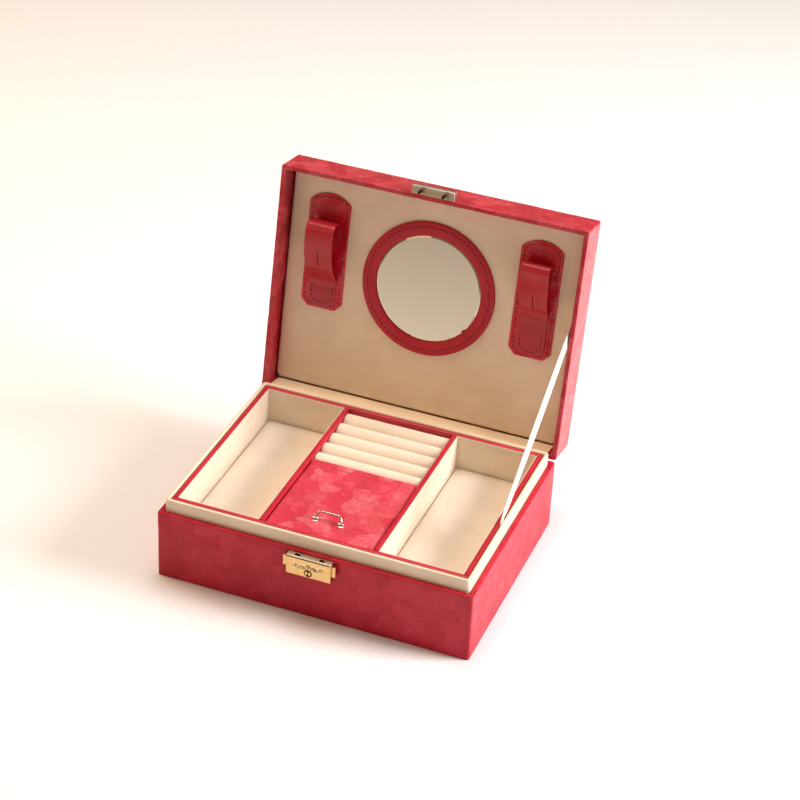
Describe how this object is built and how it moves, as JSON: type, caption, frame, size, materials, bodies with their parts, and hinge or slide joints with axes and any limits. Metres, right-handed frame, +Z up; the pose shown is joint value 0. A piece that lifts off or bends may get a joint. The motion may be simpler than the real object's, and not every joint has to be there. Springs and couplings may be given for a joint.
{
  "type": "leather jewellery case",
  "caption": "Leather-covered jewellery case with a mirror lid, a padded collar, a lift-out tray with ring rolls and a small flap, and a double-hook lock.",
  "frame": {"origin": "middle of the underside of the body", "axes": "+Z up, +Y to the back (hinge side), +X to the right seen from the front"},
  "size_m": [0.26, 0.2721, 0.2594],
  "materials": {
    "red_leather": "embossed semi-gloss crimson leather",
    "cream_velvet": "short cream velvet",
    "cream_lining": "smooth cream lining leather",
    "board": "pressed fibre board, hidden",
    "foam": "hidden soft foam sheet",
    "bottom_felt": "dark red felted sheet",
    "gold_metal": "polished gold-coloured metal",
    "bright_steel": "bright plated steel",
    "spring_steel": "spring wire",
    "mirror": "silvered glass",
    "ribbon": "cream satin ribbon"
  },
  "bodies": {
    "base": {"base_bottom_sheet": "bottom_felt", "base_floor_board": "board", "base_front_board": "board", "base_back_board": "board", "base_left_board": "board", "base_right_board": "board", "base_leather_cover": "red_leather", "base_floor_liner": "cream_velvet", "collar_front": "cream_lining", "collar_back": "cream_lining", "collar_left": "cream_lining", "collar_right": "cream_lining", "lower_dividers": "cream_velvet", "lock_back_plate": "gold_metal", "lock_case": "gold_metal", "lock_rivets": "gold_metal", "latch_springs": "spring_steel", "hinge_base_leaves": "gold_metal", "hinge_base_screws": "gold_metal", "hinge_pins": "gold_metal", "lid_stay_ribbon": "ribbon", "hinge_lining": "cream_lining"},
    "lid": {"hinge_lid_leaves": "gold_metal", "hinge_lid_screws": "gold_metal", "lid_top_board": "board", "lid_top_foam": "foam", "lid_front_board": "board", "lid_back_board": "board", "lid_left_board": "board", "lid_right_board": "board", "lid_leather_cover": "red_leather", "lid_lining_panel": "cream_lining", "mirror_surround": "red_leather", "mirror_glass": "mirror", "earring_patch_left": "red_leather", "earring_patch_right": "red_leather", "earring_strap_left": "red_leather", "earring_strap_right": "red_leather", "striker_plate": "gold_metal", "striker_hooks": "gold_metal"},
    "tray": {"tray_base_board": "board", "tray_front_wall": "red_leather", "tray_back_wall": "red_leather", "tray_left_wall": "red_leather", "tray_right_wall": "red_leather", "tray_left_divider": "red_leather", "tray_right_divider": "red_leather", "tray_cross_wall": "red_leather", "left_compartment_liner": "cream_velvet", "right_compartment_liner": "cream_velvet", "flap_compartment_liner": "cream_velvet", "ring_rolls": "cream_velvet", "flap_hinge_tape": "red_leather"},
    "flap": {"flap_board": "board", "flap_cover": "red_leather", "handle_posts": "bright_steel"},
    "handle": {"handle_bail": "bright_steel"},
    "latch_left": {"latch_button_left": "gold_metal"},
    "latch_right": {"latch_button_right": "gold_metal"},
    "key": {"key_cylinder": "gold_metal"}
  },
  "joints": [
    {"name": "lid_hinge", "type": "hinge", "parent": "base", "child": "lid", "pos_m": [0, 0.09835, 0.06], "axis": [-1, 0, 0], "range_deg": [-100.5, 0], "deforming": ["lid_stay_ribbon", "hinge_lining"]},
    {"name": "tray_lift", "type": "slide", "parent": "base", "child": "tray", "axis": [0, 0, 1], "range_m": [0, 0.12]},
    {"name": "flap_hinge", "type": "hinge", "parent": "tray", "child": "flap", "pos_m": [0, 0.0054, 0.068], "axis": [-1, 0, 0], "range_deg": [0, 110], "deforming": ["flap_hinge_tape"]},
    {"name": "handle_swing", "type": "hinge", "parent": "flap", "child": "handle", "pos_m": [0, -0.0665, 0.0696], "axis": [-1, 0, 0], "range_deg": [-121, 47]},
    {"name": "latch_left_slide", "type": "slide", "parent": "base", "child": "latch_left", "axis": [-1, 0, 0], "range_m": [-0.0016, 0], "stiffness_N_per_m": 200, "springref_m": 0.003, "deforming": ["latch_springs"]},
    {"name": "latch_right_slide", "type": "slide", "parent": "base", "child": "latch_right", "axis": [1, 0, 0], "range_m": [-0.0016, 0], "stiffness_N_per_m": 200, "springref_m": 0.003, "deforming": ["latch_springs"]},
    {"name": "key_turn", "type": "hinge", "parent": "base", "child": "key", "pos_m": [0, -0.1013, 0.046], "axis": [0, 1, 0], "range_deg": [0, 90]}
  ]
}
